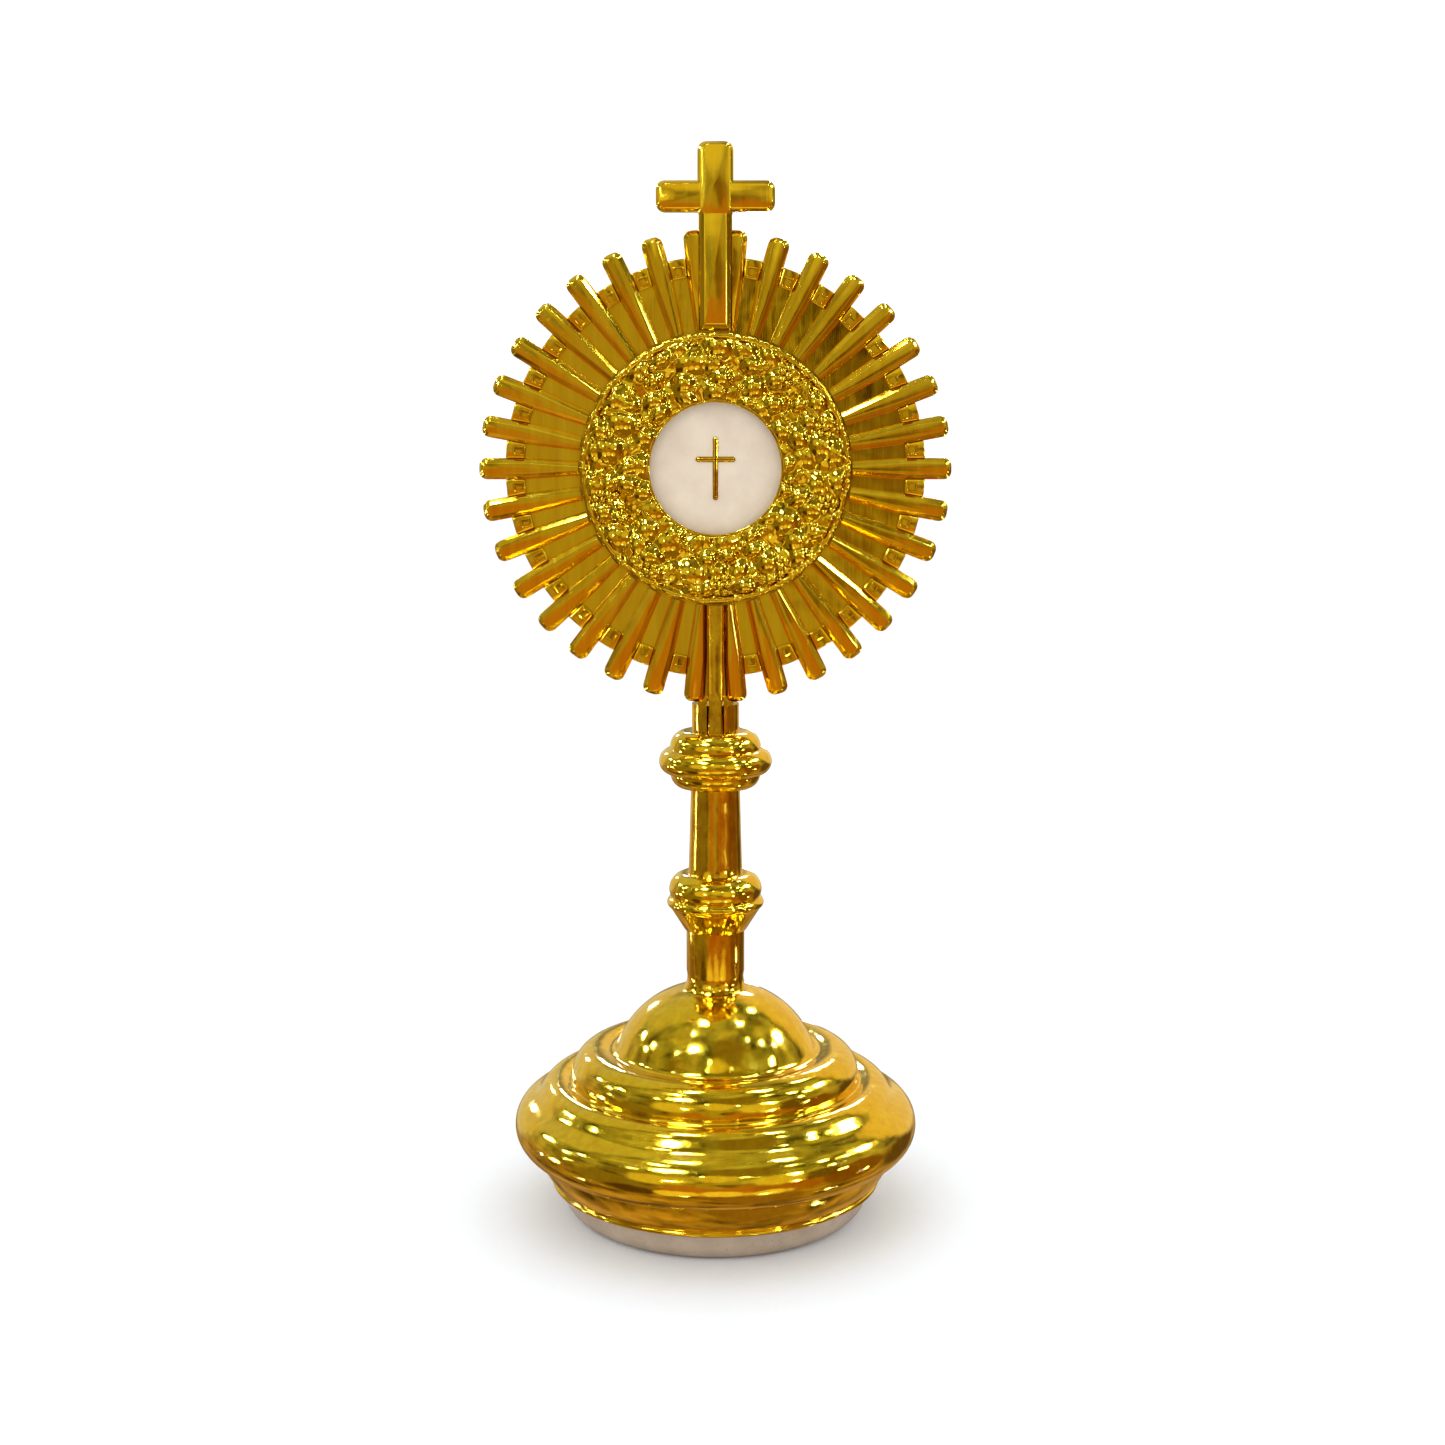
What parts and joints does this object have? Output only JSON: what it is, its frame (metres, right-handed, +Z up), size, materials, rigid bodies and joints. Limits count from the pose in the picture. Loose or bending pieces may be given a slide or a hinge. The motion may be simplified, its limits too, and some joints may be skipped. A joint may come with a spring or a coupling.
{
  "type": "monstrance",
  "caption": "Gilt sunburst monstrance on a stepped round foot: knopped stem, cross finial, relief wreath round a window, and a rear-loading case with a hinged glazed door.",
  "frame": {"origin": "centre of the foot's resting face, under the stem axis", "axes": "+Z up along the stem, -Y out of the front of the sunburst, +X to the right seen from the front"},
  "size_m": [0.1034, 0.0908, 0.2374],
  "materials": {
    "gilt": "mirror polished yellow gold plating",
    "gilt_stem": "polished gold plating with a warmer tone",
    "gilt_relief": "polished gold plating over cast relief",
    "steel": "plain turned steel",
    "iron": "as cast, black oxide",
    "pad": "matt pale grey-pink moulded composition with fine dark specks",
    "wafer": "matt pale wafer",
    "crystal": "clear polished glass"
  },
  "bodies": {
    "stand": {"base_pad": "pad", "foot_weight": "iron", "foot_flange": "gilt", "foot_shell": "gilt", "tie_rod": "steel", "tie_washer": "steel", "tie_nut": "steel", "stem_lower": "gilt_stem", "lower_knop": "gilt", "stem_middle": "gilt_stem", "upper_knop": "gilt", "stem_upper": "gilt_stem", "tang_screw": "steel", "glory_plate": "gilt", "sun_rays": "gilt", "edge_blocks": "gilt", "cross_finial": "gilt", "lower_rib": "gilt_stem", "wreath_ring": "gilt_relief", "wreath_rim": "gilt_relief", "wreath_leaves": "gilt_relief", "wreath_grapes": "gilt_relief", "bezel": "gilt", "drum": "gilt", "drum_screws": "steel"},
    "luna": {"luna_case": "gilt", "host": "wafer", "host_emblem": "gilt_stem", "host_clip": "steel", "pull_tabs": "gilt", "hinge_pin": "steel"},
    "door": {"door_frame": "gilt", "door_glass": "crystal", "door_knob": "gilt"}
  },
  "joints": [
    {"name": "luna_slide", "type": "slide", "parent": "stand", "child": "luna", "axis": [0, 1, 0], "range_m": [0, 0.025]},
    {"name": "door_hinge", "type": "hinge", "parent": "luna", "child": "door", "pos_m": [0.0209, 0.0164, 0.167], "axis": [0, 0, -1], "range_deg": [0, 110]}
  ]
}
